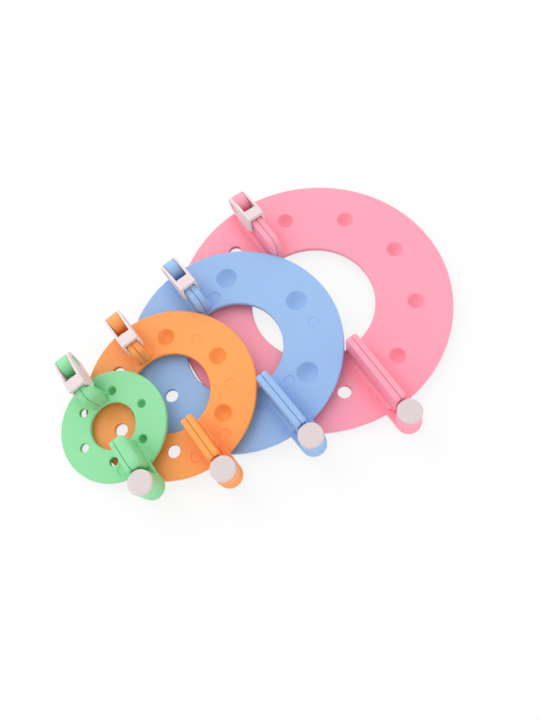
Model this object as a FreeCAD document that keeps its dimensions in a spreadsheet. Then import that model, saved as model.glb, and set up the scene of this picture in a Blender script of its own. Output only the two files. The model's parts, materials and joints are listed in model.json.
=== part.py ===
import FreeCAD, Part
import math
import os
import Sketcher

# Four ring pom-pom makers of different size, nested on one another as they are stored.
# Each maker is two half rings hinged together, a hinge pin and a flip-over latch clip.
# A maker is drawn in its own frame: the ring's centre at the origin, the underside of the
# plate at height 0, the hinge on +X, the latch on -X, the peg half on +Y.

MAKERS = ("pink", "blue", "orange", "green")

UP = FreeCAD.Vector(0, 0, 1)
SETTLING_ROUNDS = 12
LEVEL = 1e-9

# Sizes shared by the four makers, in millimetres.
SHARED = {
    "plate_thickness": 1.6,
    "split_gap": 0.25,        # between the two half rings, along the split line
    "fin_height": 9.8,        # above the plate
    "fin_thickness": 1.95,    # of the stretch beside the knuckle and under the clip
    "fin_from_hole": 0.25,    # from the hole's edge to a fin's inner end
    "fin_lug_gap": 0.15,      # between a fin's outer end and the hinge's lug
    "hinge_fin_corner": 1.8,  # rounding of a hinge fin's upper corner at the hole
    "latch_fin_corner": 3.0,
    "peg_drop": 1.8,          # how far a peg stands out below the plate
    "peg_clearance": 0.15,    # peg in the socket of a partner maker, on the radius
    "dimple_depth": 2.4,
    "dimple_floor": 0.6,
    "lug_radius": 4.1,
    "lug_gap": 0.15,          # between the lug and the arm that turns on it
    "arm_height": 1.8,        # above the plate
    "arm_width": 2.2,
    "arm_inset": 2.6,         # from the rim to the arm's nose
    "arm_root": 0.7,          # the arm is joined to the plate up to here from the rim
    "boss_radius": 3.9,
    "boss_height": 7.2,       # above the plate
    "pin_radius": 1.6,
    "pin_clearance": 0.06,    # pin in the boss, on the radius
    "cap_radius": 3.9,
    "cap_thickness": 1.35,
    "cap_bevel": 0.5,
    "cap_gap": 0.15,          # between the boss and the cap
    "pivot_height": 6.9,      # the latch's axis above the plate
    "knuckle_radius": 3.7,
    "knuckle_gap": 0.3,       # between the knuckle and the peg half's plate
    "socket_fin_gap": 0.9,    # between the knuckle and the socket half's fin
    "peg_fin_gap": 1.7,       # between the knuckle and the peg half's fin
    "nub_radius": 2.0,
    "nub_clearance": 0.06,
    "clip_side_gap": 0.1,
    "clip_wall": 0.85,
    "clip_round": 3.8,
    "clip_reach": 10.8,       # from the latch's axis to the tips of the side plates
    "clip_drop": 4.3,         # from the latch's axis down to the clip's lower edge
    "clip_heel": 1.4,         # the lower edge starts this far outside the axis
    "clip_toe": 2.9,          # length of the slope from the lower edge to the tip
    "clip_toe_rise": 3.4,
    "bar_width": 3.7,
    "bar_recess": 0.8,        # from the side plates' tips to the bar
    "bar_thickness": 1.4,
    "bar_gap": 0.5,           # between the fins' tops and the crossbar
    "clip_fin_gap": 0.4,      # from the clip's tips to the root of a fin
    "seat_gap": 0.05,         # between a maker and what it rests on
}

# Sizes of one maker, in millimetres and degrees. The rim and hole are radii; the sockets,
# dimples and pegs lie on the peg circle; the hinge's axis is the hinge reach outside the rim
# and the latch's axis the latch reach from the centre; the two fins are thicknesses. A maker
# is nested on the one before it: its rim passes the lower maker's fins at the nest clearance,
# to one side by the nest shift, and it is turned from the lower maker by the nest angle. The
# first lies on the table.
OWN = {
    "pink": {
        "rim": 45.45, "hole": 20.35,
        "peg_count": 5, "peg_circle": 33.4, "dimple": 2.9, "socket": 2.2,
        "hinge_reach": 5.35, "latch_reach": 42.35, "socket_fin": 1.95, "peg_fin": 1.95,
        "nest_clearance": 0.0, "nest_shift": 0.0, "nest_angle": -56.3,
    },
    "blue": {
        "rim": 35.15, "hole": 15.7,
        "peg_count": 3, "peg_circle": 25.3, "dimple": 3.65, "socket": 2.1,
        "hinge_reach": 5.8, "latch_reach": 31.95, "socket_fin": 1.95, "peg_fin": 1.95,
        "nest_clearance": 0.3, "nest_shift": -0.3, "nest_angle": 3.1,
    },
    "orange": {
        "rim": 28.0, "hole": 13.1,
        "peg_count": 3, "peg_circle": 19.0, "dimple": 3.0, "socket": 2.1,
        "hinge_reach": 5.2, "latch_reach": 26.7, "socket_fin": 1.95, "peg_fin": 1.95,
        "nest_clearance": 0.6, "nest_shift": 0.2, "nest_angle": -1.05,
    },
    "green": {
        "rim": 17.85, "hole": 7.55,
        "peg_count": 3, "peg_circle": 11.3, "dimple": 1.5, "socket": 1.4,
        "hinge_reach": 5.7, "latch_reach": 22.1, "socket_fin": 1.5, "peg_fin": 3.6,
        "nest_clearance": 4.95, "nest_shift": -1.45, "nest_angle": -1.8,
    },
}


class Length:
    """A size as a number and as the sheet expression that gives it."""

    def __init__(self, value, text):
        self.value = value
        self.text = text

    def joined(self, other, sign, value):
        return Length(value, "(%s %s %s)" % (self.text, sign, other.text))

    def __add__(self, other):
        other = length(other)
        return self.joined(other, "+", self.value + other.value)

    def __sub__(self, other):
        other = length(other)
        return self.joined(other, "-", self.value - other.value)

    def __mul__(self, other):
        other = length(other)
        return self.joined(other, "*", self.value * other.value)

    def __neg__(self):
        return Length(-self.value, "(-1 * %s)" % self.text)


def length(size):
    """Any number as a Length."""
    return size if isinstance(size, Length) else Length(float(size), repr(float(size)))


doc = FreeCAD.newDocument("PomPomMakers")
sheet = doc.addObject("Spreadsheet::Sheet", "Sizes")


def enter(row, alias, value):
    """Write one named size into the sheet."""
    sheet.set("A%d" % row, alias)
    sheet.set("B%d" % row, str(value))
    sheet.setAlias("B%d" % row, alias)
    return Length(float(value), "Sizes." + alias)


def fill_sheet():
    """Enter every size; give the shared ones and each maker's own, by name."""
    row = 1
    shared = {}
    for alias, value in SHARED.items():
        shared[alias] = enter(row, alias, value)
        row += 1
    own = {}
    for maker in MAKERS:
        own[maker] = dict(shared)
        for name, value in OWN[maker].items():
            own[maker][name] = enter(row, maker + "_" + name, value)
            row += 1
    doc.recompute()
    return own


def bind(thing, sizes):
    """Tie an object's properties to the sheet."""
    for name, size in sizes.items():
        thing.setExpression(name, length(size).text)


def put_at(thing, place):
    """Tie an object's base point to the sheet."""
    for axis, size in zip("xyz", place):
        thing.setExpression("Placement.Base." + axis, length(size).text)


def block(name, low, high):
    """A box between two corners."""
    box = doc.addObject("Part::Box", name)
    spans = [length(top) - bottom for bottom, top in zip(low, high)]
    bind(box, dict(zip(("Length", "Width", "Height"), spans)))
    put_at(box, low)
    return box


def drum(name, foot, radius, height):
    """An upright cylinder."""
    cylinder = doc.addObject("Part::Cylinder", name)
    bind(cylinder, {"Radius": radius, "Height": height})
    put_at(cylinder, foot)
    return cylinder


def crosswise(name, centre, radius, half):
    """A cylinder along Y, as long each way from its centre."""
    x, y, z = centre
    cylinder = doc.addObject("Part::Cylinder", name)
    bind(cylinder, {"Radius": radius, "Height": length(half) * 2})
    cylinder.Placement.Rotation = FreeCAD.Rotation(FreeCAD.Vector(1, 0, 0), -90)
    put_at(cylinder, (x, length(y) - half, z))
    return cylinder


def joined(name, pieces):
    fusion = doc.addObject("Part::MultiFuse", name)
    fusion.Shapes = pieces
    fusion.Refine = True
    return fusion


def taken_from(name, base, tools):
    """The base with all the tools cut out of it."""
    result = doc.addObject("Part::Cut", name)
    result.Base = base
    result.Tool = tools[0] if len(tools) == 1 else joined(name + "_tools", tools)
    return result


def peg_angles(maker):
    """The pegs' angles from the hinge: evenly spread, half a step in from the split line."""
    count = OWN[maker]["peg_count"]
    return [math.pi / count * (number + 0.5) for number in range(count)]


def half_plate(maker, s, side):
    """The flat half ring, on the +Y side or the -Y side of the split line."""
    name = "%s_%s_plate" % (maker, "peg" if side > 0 else "socket")
    disc = drum(name + "_disc", (0, 0, 0), s["rim"], s["plate_thickness"])
    hole = drum(name + "_hole", (0, 0, -s["plate_thickness"]), s["hole"], s["plate_thickness"] * 3)
    ring = taken_from(name + "_ring", disc, [hole])
    near = s["split_gap"] * 0.5
    low_y, high_y = (near, s["rim"]) if side > 0 else (-s["rim"], -near)
    window = block(
        name + "_side",
        (-s["rim"], low_y, -s["plate_thickness"]),
        (s["rim"], high_y, s["plate_thickness"] * 2),
    )
    half = doc.addObject("Part::Common", name)
    half.Base = ring
    half.Tool = window
    return half


def round_end(name, wall, end_x, outward, middle_y, half, top):
    """The wall with its end at end_x rounded off in plan; outward is -1 or 1 along X."""
    turn_x = end_x - half * outward
    low_x, high_x = (turn_x, end_x + half * outward)[::outward]
    square = block(
        name + "_square",
        (low_x, middle_y - half * 2, -half),
        (high_x, middle_y + half * 2, top + half),
    )
    pillar = drum(name + "_pillar", (turn_x, middle_y, -half * 2), half, top + half * 4)
    return taken_from(name, wall, [taken_from(name + "_corners", square, [pillar])])


def fin(name, s, side, inner_x, outer_x, thickness, corner, outer_round=False):
    """A wall along the split line, from the hole outwards: its inner end is round in plan and
    its inner upper corner is rounded, and its outer end is square or round in plan."""
    near = s["split_gap"] * 0.5
    half = thickness * 0.5
    middle_y = (near + half) * side
    top = s["plate_thickness"] + s["fin_height"]
    outward = 1 if outer_x.value > inner_x.value else -1
    low_x, high_x = (inner_x, outer_x)[::outward]
    wall = block(name + "_wall", (low_x, middle_y - half, 0), (high_x, middle_y + half, top))
    wall = round_end(name + "_inner", wall, inner_x, -outward, middle_y, half, top)
    if outer_round:
        wall = round_end(name + "_outer", wall, outer_x, outward, middle_y, half, top)
    turn_x = inner_x + corner * outward
    turn_z = top - corner
    corner_low_x, corner_high_x = (inner_x - corner * outward, turn_x)[::outward]
    square = block(
        name + "_upper_square",
        (corner_low_x, middle_y - thickness, turn_z),
        (corner_high_x, middle_y + thickness, top + corner),
    )
    arc = crosswise(name + "_arc", (turn_x, middle_y, turn_z), corner, thickness * 2)
    return taken_from(name, wall, [taken_from(name + "_upper_corner", square, [arc])])


def fins(name, s, side, thickness, knuckle_gap):
    """A half ring's fins: one beside the hinge, and one beside the latch in two stretches, its
    root and the end that goes under the clip."""
    inner_x = s["hole"] + s["fin_from_hole"]
    outer_x = s["rim"] + s["hinge_reach"] - s["lug_radius"] - s["fin_lug_gap"]
    root_x = -s["latch_reach"] + s["clip_reach"] + s["clip_fin_gap"]
    end_x = -s["latch_reach"] + s["knuckle_radius"] + knuckle_gap
    high = s["hinge_fin_corner"]
    wide = s["latch_fin_corner"]
    return [
        fin(name + "_hinge_fin", s, side, inner_x, outer_x, thickness, high, True),
        fin(name + "_latch_fin_root", s, side, -inner_x, root_x, thickness, wide),
        fin(name + "_latch_fin", s, side, -inner_x, end_x, s["fin_thickness"], wide),
    ]


def knuckle_half(s):
    """Half the knuckle's width: its sides are flush with the ends of the latch fins."""
    return s["split_gap"] * 0.5 + s["fin_thickness"]


def socket_half(maker, s):
    """The half ring with the sockets; it carries the lug, the latch's knuckle and its nubs."""
    name = maker + "_socket_half"
    near = s["split_gap"] * 0.5
    plate_top = s["plate_thickness"]
    hinge_x = s["rim"] + s["hinge_reach"]
    latch_x = -s["latch_reach"]
    pivot_z = plate_top + s["pivot_height"]
    outer_x = latch_x - s["knuckle_radius"]
    mid_plate_x = (s["hole"] + s["rim"]) * -0.5
    half = knuckle_half(s)
    nub_half = half + s["clip_side_gap"] + s["clip_wall"]
    pieces = [
        half_plate(maker, s, -1),
        drum(name + "_lug", (hinge_x, 0, 0), s["lug_radius"], plate_top),
        block(
            name + "_neck",
            (s["rim"] - s["arm_inset"], -s["lug_radius"], 0),
            (hinge_x, -near, plate_top),
        ),
        *fins(name, s, -1, s["socket_fin"], s["socket_fin_gap"]),
        block(name + "_tail", (outer_x, -half, 0), (mid_plate_x, -near, plate_top)),
        crosswise(name + "_barrel", (latch_x, 0, pivot_z), s["knuckle_radius"], half),
        block(
            name + "_knuckle",
            (outer_x, -half, plate_top + s["knuckle_gap"]),
            (latch_x + s["knuckle_radius"], half, pivot_z),
        ),
        block(
            name + "_knuckle_foot",
            (outer_x, -half, 0),
            (latch_x + s["knuckle_radius"], -near, plate_top + s["knuckle_gap"] * 2),
        ),
        crosswise(name + "_nubs", (latch_x, 0, pivot_z), s["nub_radius"], nub_half),
    ]
    tools = [drum(name + "_pin_bore", (hinge_x, 0, -plate_top), s["pin_radius"], plate_top * 3)]
    for number, angle in enumerate(peg_angles(maker), start=1):
        place = (s["peg_circle"] * math.cos(angle), -s["peg_circle"] * math.sin(angle), -plate_top)
        tools.append(drum("%s_socket_%d" % (name, number), place, s["socket"], plate_top * 3))
    return taken_from(name, joined(name + "_solid", pieces), tools)


def peg_half(maker, s):
    """The half ring with pegs below and a dimple over each; its arm turns about the pin."""
    name = maker + "_peg_half"
    plate_top = s["plate_thickness"]
    hinge_x = s["rim"] + s["hinge_reach"]
    arm_x = s["rim"] - s["arm_inset"]
    arm_low_y = s["lug_radius"] - s["arm_width"]
    arm_top = plate_top + s["arm_height"]
    arm_foot = plate_top + s["lug_gap"]
    nose = (arm_x, s["lug_radius"] - s["arm_width"] * 0.5, plate_top * 0.5)
    pieces = [
        half_plate(maker, s, 1),
        *fins(name, s, 1, s["peg_fin"], s["peg_fin_gap"]),
        drum(name + "_nose", nose, s["arm_width"] * 0.5, s["arm_height"] + plate_top * 0.5),
        block(
            name + "_arm_root",
            (arm_x, arm_low_y, plate_top * 0.5),
            (s["rim"] - s["arm_root"], s["lug_radius"], arm_top),
        ),
        block(name + "_arm", (arm_x, arm_low_y, arm_foot), (hinge_x, s["lug_radius"], arm_top)),
        drum(name + "_eye", (hinge_x, 0, arm_foot), s["lug_radius"], s["arm_height"] - s["lug_gap"]),
        drum(name + "_boss", (hinge_x, 0, arm_foot), s["boss_radius"], s["boss_height"] - s["lug_gap"]),
    ]
    bore = s["pin_radius"] + s["pin_clearance"]
    tools = [drum(name + "_pin_bore", (hinge_x, 0, 0), bore, plate_top + s["boss_height"] * 2)]
    for number, angle in enumerate(peg_angles(maker), start=1):
        x = s["peg_circle"] * math.cos(angle)
        y = s["peg_circle"] * math.sin(angle)
        peg_radius = s["socket"] - s["peg_clearance"]
        foot = (x, y, -s["peg_drop"])
        pieces.append(drum("%s_peg_%d" % (name, number), foot, peg_radius, s["peg_drop"] + plate_top * 0.5))
        dimple = doc.addObject("Part::Cone", "%s_dimple_%d" % (name, number))
        bind(dimple, {"Radius1": s["dimple_floor"], "Radius2": s["dimple"], "Height": s["dimple_depth"]})
        put_at(dimple, (x, y, plate_top - s["dimple_depth"]))
        tools.append(dimple)
    return taken_from(name, joined(name + "_solid", pieces), tools)


def sketch_on(body, name, role):
    """A sketch on one of the body's own origin planes."""
    plane = [feature for feature in body.Origin.OriginFeatures if feature.Role == role][0]
    sketch = body.newObject("Sketcher::SketchObject", name)
    sketch.AttachmentSupport = [(plane, "")]
    sketch.MapMode = "FlatFace"
    return sketch


def fix_distance(sketch, axis, geometry, point, size):
    """Hold one point's distance from the origin along X or Y by an expression."""
    size = length(size)
    flipped = size.value < 0
    span = -size if flipped else size
    ends = (geometry, point, -1, 1) if flipped else (-1, 1, geometry, point)
    number = sketch.addConstraint(Sketcher.Constraint("Distance" + axis, *ends, span.value))
    sketch.setExpression("Constraints[%d]" % number, span.text)


def draw_outline(sketch, corners):
    """A closed outline of straight lines through the corners."""
    points = [FreeCAD.Vector(length(x).value, length(y).value, 0) for x, y in corners]
    for number, point in enumerate(points):
        after = points[(number + 1) % len(points)]
        sketch.addGeometry(Part.LineSegment(point, after), False)
    for number in range(len(points)):
        after = (number + 1) % len(points)
        sketch.addConstraint(Sketcher.Constraint("Coincident", number, 2, after, 1))
    for number, corner in enumerate(corners):
        fix_distance(sketch, "X", number, 1, corner[0])
        fix_distance(sketch, "Y", number, 1, corner[1])


def draw_circle(sketch, radius):
    """A circle about the sketch's origin."""
    sketch.addGeometry(Part.Circle(FreeCAD.Vector(0, 0, 0), UP, radius.value), False)
    sketch.addConstraint(Sketcher.Constraint("Coincident", 0, 3, -1, 1))
    number = sketch.addConstraint(Sketcher.Constraint("Radius", 0, radius.value))
    sketch.setExpression("Constraints[%d]" % number, radius.text)


def both_ways(body, kind, name, sketch, half):
    """A pad or a pocket that reaches as far each way from its sketch's plane."""
    feature = body.newObject("PartDesign::" + kind, name)
    feature.Profile = sketch
    feature.SideType = "Symmetric"
    feature.setExpression("Length", (half * 2).text)
    return feature


def hinge_pin(maker, s):
    """A round pin with a cap, drawn about its own axis: it sits in the lug and holds the boss."""
    name = maker + "_hinge_pin"
    body = doc.addObject("PartDesign::Body", name)
    sketch = sketch_on(body, name + "_profile", "XZ_Plane")
    cap_foot = s["plate_thickness"] + s["boss_height"] + s["cap_gap"]
    cap_top = cap_foot + s["cap_thickness"]
    draw_outline(sketch, [
        (0, 0),
        (s["pin_radius"], 0),
        (s["pin_radius"], cap_foot),
        (s["cap_radius"], cap_foot),
        (s["cap_radius"], cap_top - s["cap_bevel"]),
        (s["cap_radius"] - s["cap_bevel"], cap_top),
        (0, cap_top),
    ])
    turned = body.newObject("PartDesign::Revolution", name + "_turned")
    turned.Profile = sketch
    turned.ReferenceAxis = (sketch, ["V_Axis"])
    turned.Angle = 360
    return body


def latch_clip(maker, s):
    """A U-shaped clip drawn about its pivot: two side plates and a bar across the fins."""
    name = maker + "_latch_clip"
    body = doc.addObject("PartDesign::Body", name)
    bar_foot = s["fin_height"] + s["bar_gap"] - s["pivot_height"]
    bar_top = bar_foot + s["bar_thickness"]
    bar_outer = s["clip_reach"] - s["bar_recess"] - s["bar_width"]
    bar_inner = s["clip_reach"] - s["bar_recess"]
    toe_x = s["clip_reach"] - s["clip_toe"]
    half_gap = knuckle_half(s) + s["clip_side_gap"]
    half_width = half_gap + s["clip_wall"]
    plate = sketch_on(body, name + "_side", "XZ_Plane")
    draw_outline(plate, [
        (0, s["clip_round"]),
        (bar_outer, bar_top),
        (bar_inner, bar_top),
        (s["clip_reach"], s["clip_toe_rise"] - s["clip_drop"]),
        (toe_x, -s["clip_drop"]),
        (-s["clip_heel"], -s["clip_drop"]),
        (-s["clip_heel"], 0),
    ])
    both_ways(body, "Pad", name + "_sides", plate, half_width)
    end = sketch_on(body, name + "_end", "XZ_Plane")
    draw_circle(end, s["clip_round"])
    both_ways(body, "Pad", name + "_round", end, half_width)
    past = s["clip_reach"] * 2
    gap = sketch_on(body, name + "_gap", "XZ_Plane")
    draw_outline(gap, [
        (-past, -past),
        (past, -past),
        (past, past),
        (bar_inner, past),
        (bar_inner, bar_foot),
        (bar_outer, bar_foot),
        (bar_outer, past),
        (-past, past),
    ])
    both_ways(body, "Pocket", name + "_inside", gap, half_gap)
    hole = sketch_on(body, name + "_hole", "XZ_Plane")
    draw_circle(hole, s["nub_radius"] + s["nub_clearance"])
    both_ways(body, "Pocket", name + "_pivot", hole, half_width * 2)
    return body


def lowest_rim_point(place, rim):
    """The point on the rim of a maker's underside that lies lowest."""
    normal = place.Rotation.multVec(UP)
    downhill = FreeCAD.Vector(normal.x, normal.y, 0)
    if downhill.Length < LEVEL:
        downhill = place.Rotation.multVec(FreeCAD.Vector(0, -1, 0))
    outward = downhill - normal * downhill.dot(normal)
    return place.Base + outward.normalize() * rim


def settle(maker, s, place, support):
    """Let a maker down until its two end pegs meet the support and its rim the table."""
    gap = s["seat_gap"].value
    drop = s["peg_drop"].value
    circle = s["peg_circle"].value
    peg_radius = s["socket"].value - s["peg_clearance"].value
    normal = support.Rotation.multVec(UP)
    angles = peg_angles(maker)
    for _ in range(SETTLING_ROUNDS):
        contacts = []
        lean = math.sin(place.Rotation.multVec(UP).getAngle(normal))
        for angle in (angles[0], angles[-1]):
            foot = FreeCAD.Vector(circle * math.cos(angle), circle * math.sin(angle), -drop)
            point = place.multVec(foot)
            above = (point - support.Base).dot(normal)
            contacts.append((point, (peg_radius * lean + gap - above) / normal.z))
        point = lowest_rim_point(place, s["rim"].value)
        contacts.append((point, gap - point.z))
        rows = []
        for point, rise in contacts:
            arm = point - place.Base
            rows += [1, arm.x, arm.y, 0]
        solver = FreeCAD.Matrix(*rows, 0, 0, 0, 1).inverse()
        move = solver.multVec(FreeCAD.Vector(*[rise for point, rise in contacts]))
        axis = FreeCAD.Vector(move.z, -move.y, 0)
        tilt = FreeCAD.Rotation(axis, math.degrees(axis.Length))
        place = FreeCAD.Placement(place.Base + UP * move.x, tilt * place.Rotation)
    return place


def nested_centre(s, lower, lower_centre, lower_turn):
    """Where a ring's centre lies so that its rim passes the round inner ends of the lower
    maker's fins."""
    round_radius = lower["socket_fin"].value / 2
    round_x = lower["hole"].value + lower["fin_from_hole"].value + round_radius
    round_y = lower["split_gap"].value / 2 + round_radius
    reach = s["rim"].value + s["nest_clearance"].value + round_radius
    back = round_y + math.sqrt(reach ** 2 - round_x ** 2)
    offset = FreeCAD.Vector(s["nest_shift"].value, -back, 0)
    return lower_centre + FreeCAD.Rotation(UP, lower_turn).multVec(offset)


def place_makers(own):
    """Each maker's placement, from the one on the table up."""
    places = {}
    lower = None
    support = FreeCAD.Placement()
    centre = FreeCAD.Vector(0, 0, 0)
    turn = 0.0
    for maker in MAKERS:
        s = own[maker]
        if lower:
            centre = nested_centre(s, lower, centre, turn)
        turn += s["nest_angle"].value
        start = FreeCAD.Placement(centre, FreeCAD.Rotation(UP, turn))
        places[maker] = settle(maker, s, start, support)
        plate_top = FreeCAD.Vector(0, 0, s["plate_thickness"].value)
        support = places[maker] * FreeCAD.Placement(plate_top, FreeCAD.Rotation())
        lower = s
    return places


def build_makers(own):
    """All the pieces by name, each with its place in its maker's frame."""
    pieces = {}
    for maker in MAKERS:
        s = own[maker]
        at_origin = FreeCAD.Vector(0, 0, 0)
        at_hinge = FreeCAD.Vector(s["rim"].value + s["hinge_reach"].value, 0, 0)
        pivot_z = s["plate_thickness"].value + s["pivot_height"].value
        at_latch = FreeCAD.Vector(-s["latch_reach"].value, 0, pivot_z)
        pieces[maker + "_socket_half"] = (maker, socket_half(maker, s), at_origin)
        pieces[maker + "_peg_half"] = (maker, peg_half(maker, s), at_origin)
        pieces[maker + "_hinge_pin"] = (maker, hinge_pin(maker, s), at_hinge)
        pieces[maker + "_latch_clip"] = (maker, latch_clip(maker, s), at_latch)
    return pieces


def stand_on_origin(pieces):
    """Move everything so that the set stands on the origin, centred on it."""
    doc.recompute()
    box = Part.makeCompound([piece.Shape for maker, piece, spot in pieces.values()])
    box = box.optimalBoundingBox(False, False)
    shift = FreeCAD.Vector(-box.Center.x, -box.Center.y, -box.ZMin)
    for maker, piece, spot in pieces.values():
        piece.Placement = FreeCAD.Placement(shift, FreeCAD.Rotation()) * piece.Placement
    doc.recompute()


def check(pieces):
    """Stop if any object failed or any piece isn't one sound solid."""
    for thing in doc.Objects:
        if "Invalid" in thing.State or "Error" in thing.State:
            raise RuntimeError("%s failed: %s" % (thing.Name, thing.State))
    for name, (maker, piece, spot) in pieces.items():
        shape = piece.Shape
        if shape.isNull() or not shape.isValid() or len(shape.Solids) != 1:
            raise RuntimeError("%s is not one sound solid" % name)


def write(pieces):
    os.makedirs("parts", exist_ok=True)
    for name, (maker, piece, spot) in pieces.items():
        piece.Shape.exportStep("parts/%s.step" % name)
        print("%-20s %10.2f mm3" % (name, piece.Shape.Volume))


own_sizes = fill_sheet()
all_pieces = build_makers(own_sizes)
maker_places = place_makers(own_sizes)
for label, (maker, piece, spot) in all_pieces.items():
    piece.Label = label
    piece.Placement = maker_places[maker] * FreeCAD.Placement(spot, FreeCAD.Rotation())
stand_on_origin(all_pieces)
check(all_pieces)
write(all_pieces)
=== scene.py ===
from collections import Counter
import json
import math
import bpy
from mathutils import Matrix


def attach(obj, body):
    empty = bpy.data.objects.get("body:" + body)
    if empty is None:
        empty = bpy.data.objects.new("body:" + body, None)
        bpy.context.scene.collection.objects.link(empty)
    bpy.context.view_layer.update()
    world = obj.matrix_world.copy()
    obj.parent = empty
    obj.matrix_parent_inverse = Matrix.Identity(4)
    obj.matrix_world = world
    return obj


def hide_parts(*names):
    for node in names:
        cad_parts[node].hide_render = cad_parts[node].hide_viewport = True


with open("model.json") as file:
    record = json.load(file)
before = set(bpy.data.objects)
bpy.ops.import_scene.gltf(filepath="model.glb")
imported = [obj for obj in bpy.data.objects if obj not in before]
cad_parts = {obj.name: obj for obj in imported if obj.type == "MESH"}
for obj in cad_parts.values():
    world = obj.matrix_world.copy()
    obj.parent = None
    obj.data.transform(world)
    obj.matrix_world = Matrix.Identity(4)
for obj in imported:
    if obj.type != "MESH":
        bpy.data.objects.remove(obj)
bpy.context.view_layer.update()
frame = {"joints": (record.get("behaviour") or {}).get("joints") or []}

from types import SimpleNamespace

import bpy
from bpy.props import FloatProperty, FloatVectorProperty, IntProperty, PointerProperty
from mathutils import Matrix, Vector

# Four ring pom-pom makers, nested on one another. Each is drawn in millimetres in its own
# frame, with the ring's centre at the origin, the underside of the plate at height 0, the
# hinge on +X, the latch on -X and the peg half on +Y, and is then put where the frame has it.

bl_info = {
    "name": "Nested pom-pom makers",
    "version": (1, 0, 0),
    "blender": (4, 5, 0),
    "location": "View3D > Sidebar > Pom-pom makers",
    "description": "Models four nested, hinged ring pom-pom makers in moulded plastic",
    "category": "Add Mesh",
}

MAKERS = ("pink", "blue", "orange", "green")
MM = 0.001
FOOT_SLANT = 0.8  # how far a foot's ends are cut askew; 0 is square
FIN_SOFTNESS = 0.36  # rounding of a fin's outer edges, as a share of its thickness
BLOCK_SOFTNESS = 0.48  # the same for a fin so thick that it is a block
BOWL_POWER = 2.3  # how flat a dimple's floor is; 1 is a cone

# Small lengths in millimetres.
SLIVER = 0.01  # keeps the faces of joined solids from lying in one plane
SAME_POINT = 0.0002  # points that cutting leaves nearer than this are one point
SAME_CORNER = 0.0005  # points of an outline nearer than this are one point
ON_CUT = 0.0001  # a point this near to a cutting plane lies on it
ON_END = 1e-4  # a point this near to a prism's end lies on it
ON_FACE = 1e-3  # the same for a fin's or a bar's face
OVERRUN = 1  # how far a cutter stands out past the face that it cuts
MARK_OVERRUN = 0.1  # the same for an ejector mark's cutter
FIN_END = 1.0  # rounding of a latch fin's upper corner beside the knuckle
FOOT_OVERLAP = 0.5  # how far a fin's foot reaches into the fin and the plate
SOCKET_LIP = 0.25
PEG_EDGE = 0.25
DIMPLE_LIP = 0.22
MARK_SLOPE = 0.15  # width of the slope round an ejector mark
KNUCKLE_EDGE = 0.2
NUB_EDGE = 0.2
CLIP_EDGE = 0.22
CAP_RIM = 0.15  # rounding of a cap's lower edge
PIN_TIP = 0.2  # bevel at the pin's foot
PIN_RISE = 0.02  # the pin's foot lies this far above the lug's underside

# The number of steps that each curve is drawn in.
STEPS = SimpleNamespace(
    ring=176, plate_edge=5, fin_corner=10, fin_end=5, fin_edge=6, fin_foot=7, seam_edge=2,
    lug=40, arm_nose=14, eye=44, boss=56, boss_edge=4, bore=32, pin=72, cap_rim=2, cap_edge=6,
    knuckle=32, nub=32, nub_edge=2, clip=26, socket=40, socket_lip=3, peg=36, peg_edge=3,
    dimple=56, bowl=8, mark=40, edge=3,
)

# The share of the light that goes into each plastic, and how deep, in metres.
RING_GLOW = (0.1, 0.001)
CLIP_GLOW = (0.2, 0.0008)
PIN_GLOW = (0.3, 0.001)
CLOUD_SHADE = 0.95  # the darkest clouds, as a share of the plastic's colour
# painted shade in hollows: there the plastic's colour is raised to this power, deeper and darker
PAINTED_SHADE_POWER = 2.4  # how strong the colour grows in hollows; 1 is no stronger

# The stage, in metres and watts.
FLOOR_SIZE = 4
FLOOR_DROP = 0.0002  # keeps the floor from touching what stands on it
FLOOR_WHITE = 0.8  # the share of plain white in the floor, as the eye sees it
KEY_PLACE = (-0.7, 0.6, 0.9)
KEY_SIZE = 1.0
KEY_POWER = 5.0
CAMERA_PLACE = (20.223, -118.465, 239.012)  # in millimetres
CAMERA_FORWARD = (-0.06371, 0.41754, -0.90642)
CAMERA_RIGHT = (0.99754, -0.00005, -0.07014)
CAMERA_LENS = 40.58  # in millimetres, for a sensor of this height
CAMERA_SENSOR = 36

# The round marks that the mould's ejector pins leave on the plates: the distance from the
# ring's centre in millimetres, and the angle from the hinge in degrees.
EJECTOR_MARKS = {
    "pink": (),
    "blue": ((19.9, 164), (26.7, 68.5), (21.5, 18), (21.4, -12.4)),
    "orange": ((19.1, 118), (19.5, 58.5), (23.2, 15.5), (23.0, -12.4)),
    "green": ((14.6, -18.5),),
}


# ---------------------------------------------------------------- settings


def length_setting(title, about, default_mm):
    """A length, shown in the scene's unit, with its default given in millimetres."""
    return FloatProperty(
        name=title, description=about, default=default_mm * MM, unit="LENGTH", precision=5
    )


def linear(code):
    """An sRGB hex colour as linear red, green and blue."""
    shares = [int(code[place:place + 2], 16) / 255 for place in (1, 3, 5)]
    return tuple(c / 12.92 if c <= 0.04045 else ((c + 0.055) / 1.055) ** 2.4 for c in shares)


def colour_setting(title, about, code):
    """A colour, with its default given as an sRGB hex value."""
    return FloatVectorProperty(
        name=title, description=about, default=linear(code), subtype="COLOR", size=3, min=0, max=1
    )


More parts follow.
